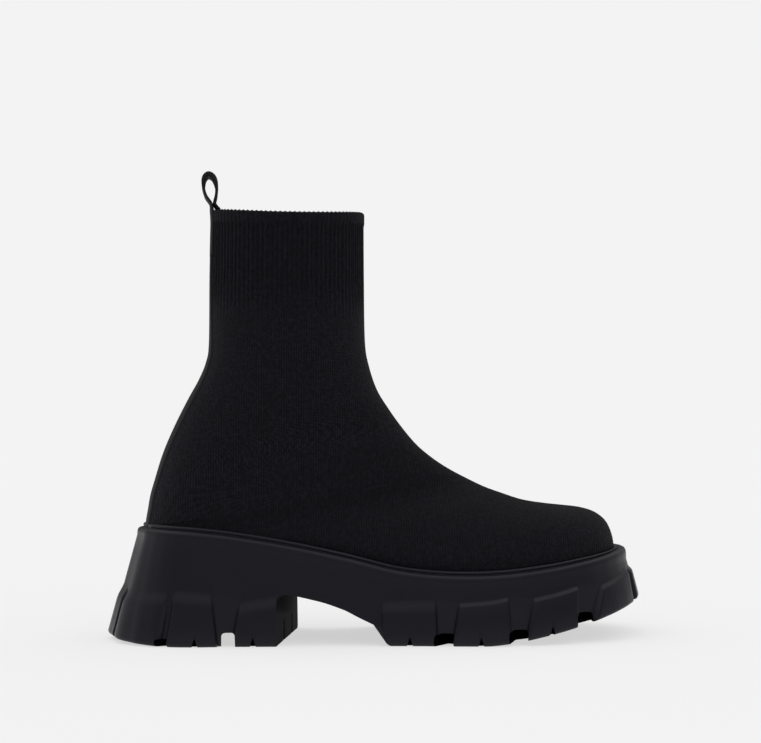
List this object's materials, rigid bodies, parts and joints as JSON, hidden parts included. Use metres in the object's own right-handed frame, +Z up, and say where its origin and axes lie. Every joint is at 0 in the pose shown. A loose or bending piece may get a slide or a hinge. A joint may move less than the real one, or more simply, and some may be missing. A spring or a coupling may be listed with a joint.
{
  "type": "sock boot",
  "caption": "Black knitted right sock boot with a ribbed cuff, pull loop and smooth back strip, on a chunky moulded platform sole with a block heel and lugged tread.",
  "frame": {"origin": "on the floor under the middle of the boot's box", "axes": "+X to the toe, -Y to the outer side of the foot, +Z up"},
  "size_m": [0.2952, 0.1124, 0.2575],
  "materials": {
    "knit": "matt fine knit",
    "coated_strip": "smooth satin synthetic",
    "tape": "woven tape",
    "sole_rubber": "satin moulded rubber",
    "insole_textile": "matt textile"
  },
  "bodies": {
    "root": {"upper": "knit", "back_strip": "coated_strip", "pull_loop": "tape", "sole_unit": "sole_rubber", "insole": "insole_textile"}
  },
  "joints": []
}
